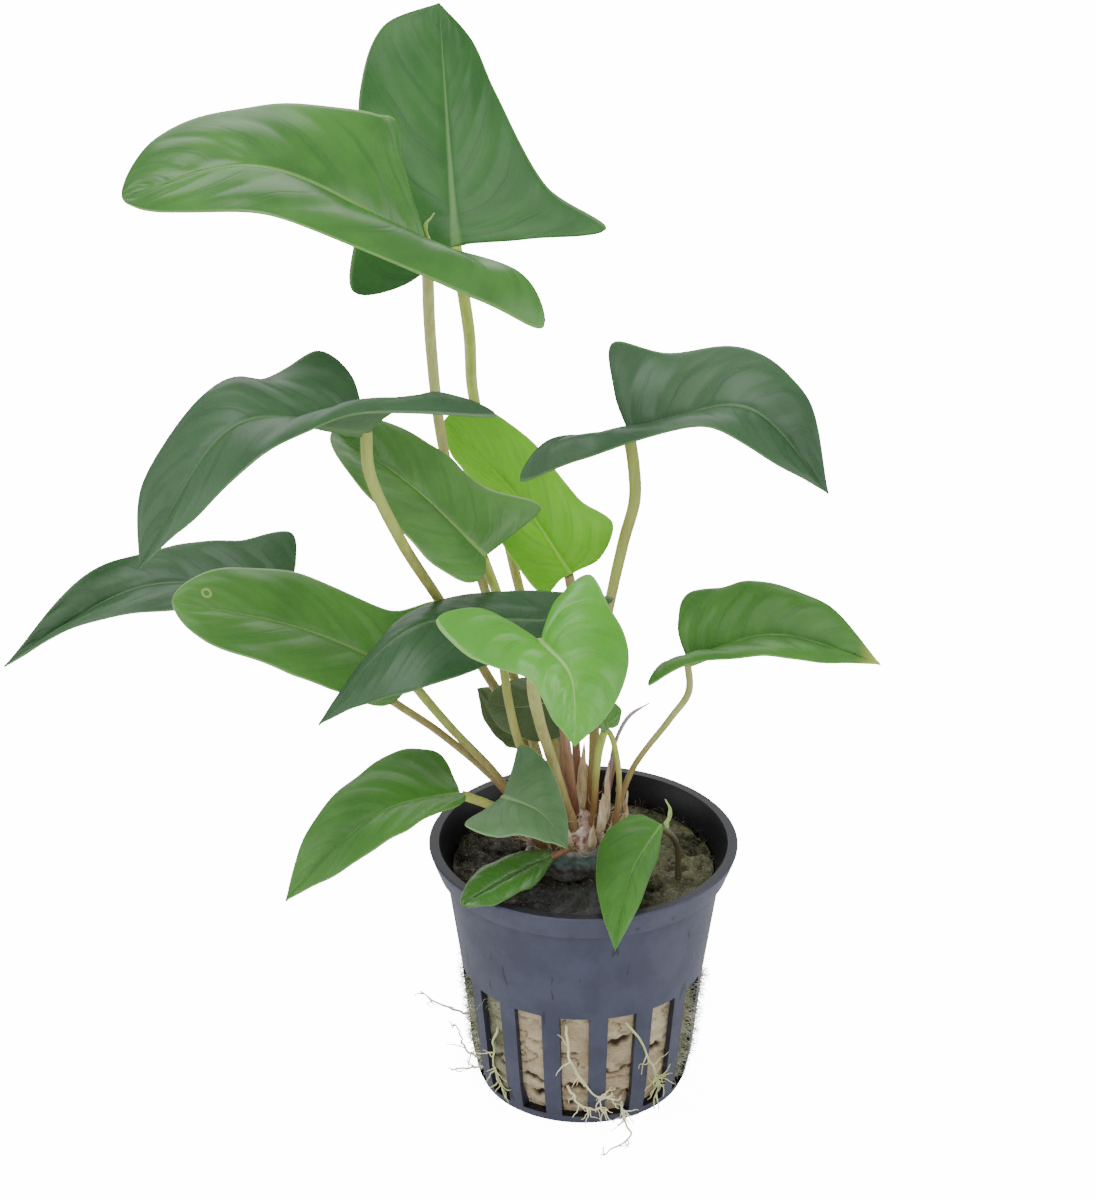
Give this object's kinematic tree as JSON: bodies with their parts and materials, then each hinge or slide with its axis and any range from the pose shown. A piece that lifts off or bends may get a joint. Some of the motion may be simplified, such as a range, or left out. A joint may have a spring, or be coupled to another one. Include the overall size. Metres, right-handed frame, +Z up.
{
  "type": "anubias gracilis in a net pot",
  "caption": "Aquarium plant with heart-shaped leaves on long stems, rooted in a rockwool plug in a small slotted black net pot.",
  "frame": {"origin": "centre of the pot's underside, on the surface it rests on", "axes": "+Z up, -Y towards the side the plant is looked at from, +X to the right of that view"},
  "size_m": [0.1527, 0.0866, 0.1887],
  "materials": {
    "leaf": "satin green leaf with a pale midrib",
    "stem": "satin yellow-green to olive",
    "rhizome": "rough brown and pinkish bark",
    "root": "matte cream to green",
    "dry_sheath": "matte dry brown",
    "rockwool": "matte fibrous, damp, browned with algae",
    "pot_plastic": "satin black with a blue-grey sheen"
  },
  "bodies": {
    "root": {"leaf_centre": "leaf", "leaf_centre_rear": "leaf", "leaf_far_left": "leaf", "leaf_front": "leaf", "leaf_inner": "leaf", "leaf_inner_rear": "leaf", "leaf_low_glossy": "leaf", "leaf_lower_centre": "leaf", "leaf_lower_dark": "leaf", "leaf_lower_left": "leaf", "leaf_lower_right": "leaf", "leaf_mid_left": "leaf", "leaf_right": "leaf", "leaf_small_rear": "leaf", "leaf_top_front": "leaf", "leaf_top_rear": "leaf", "leaf_upper_left": "leaf", "leaf_upper_right": "leaf", "net_pot": "pot_plastic", "rhizome": "rhizome", "rockwool": "rockwool", "root_floor": "root", "root_front_long": "root", "root_front_low": "root", "root_front_right": "root", "root_left_high": "root", "root_left_low": "root", "root_left_mid": "root", "root_slot_left": "root", "stem_arching": "stem", "stem_centre": "stem", "stem_centre_rear": "stem", "stem_dry_twig": "dry_sheath", "stem_far_left": "stem", "stem_front": "stem", "stem_inner": "stem", "stem_inner_rear": "stem", "stem_low_glossy": "stem", "stem_lower_centre": "stem", "stem_lower_dark": "stem", "stem_lower_left": "stem", "stem_lower_right": "stem", "stem_mid_left": "stem", "stem_old_sheath": "dry_sheath", "stem_right": "stem", "stem_small_rear": "stem", "stem_top_front": "stem", "stem_top_rear": "stem", "stem_upper_left": "stem", "stem_upper_right": "stem"}
  },
  "joints": []
}
